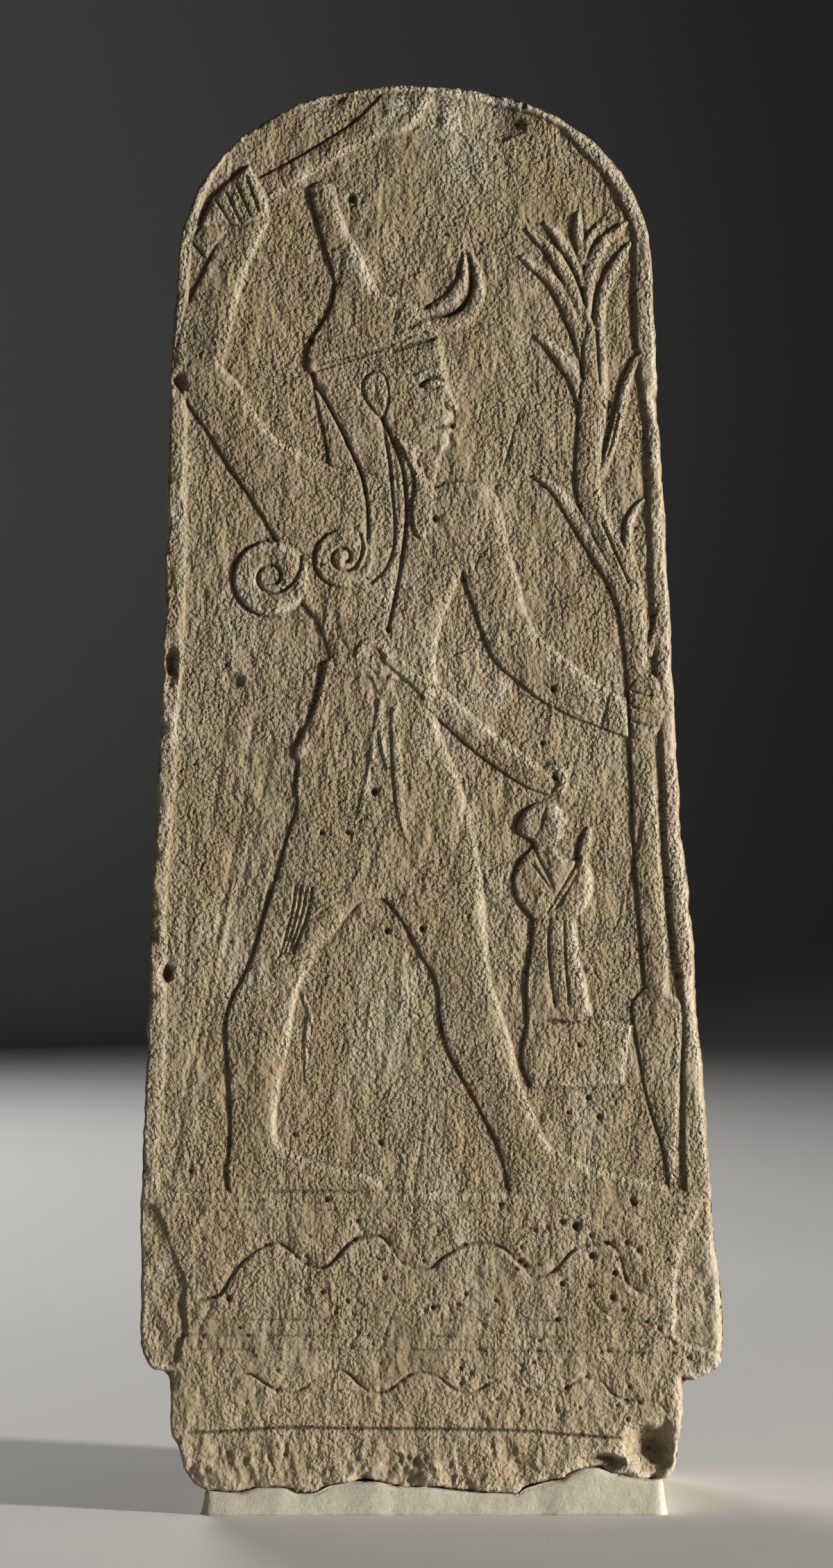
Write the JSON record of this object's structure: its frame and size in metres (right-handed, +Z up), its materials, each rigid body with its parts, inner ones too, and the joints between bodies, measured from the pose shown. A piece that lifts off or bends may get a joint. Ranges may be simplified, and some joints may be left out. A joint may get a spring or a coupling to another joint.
{
  "type": "carved stone stele",
  "caption": "Round-topped limestone slab carved in low relief with a striding horned-helmet warrior, a leafed spear and a small robed attendant, on a low mortar bed.",
  "frame": {"origin": "centre of the bounding box at the underside of the mortar bed", "axes": "+Z up, the carved face looks towards -Y, +X is to the viewer's right when facing the carving"},
  "size_m": [0.5891, 0.28, 1.44],
  "materials": {
    "limestone": "weathered, matt, warm grey-brown",
    "mortar": "smooth cast lime mortar, pale cream"
  },
  "bodies": {
    "root": {"stele": "limestone", "mortar_bed": "mortar"}
  },
  "joints": []
}
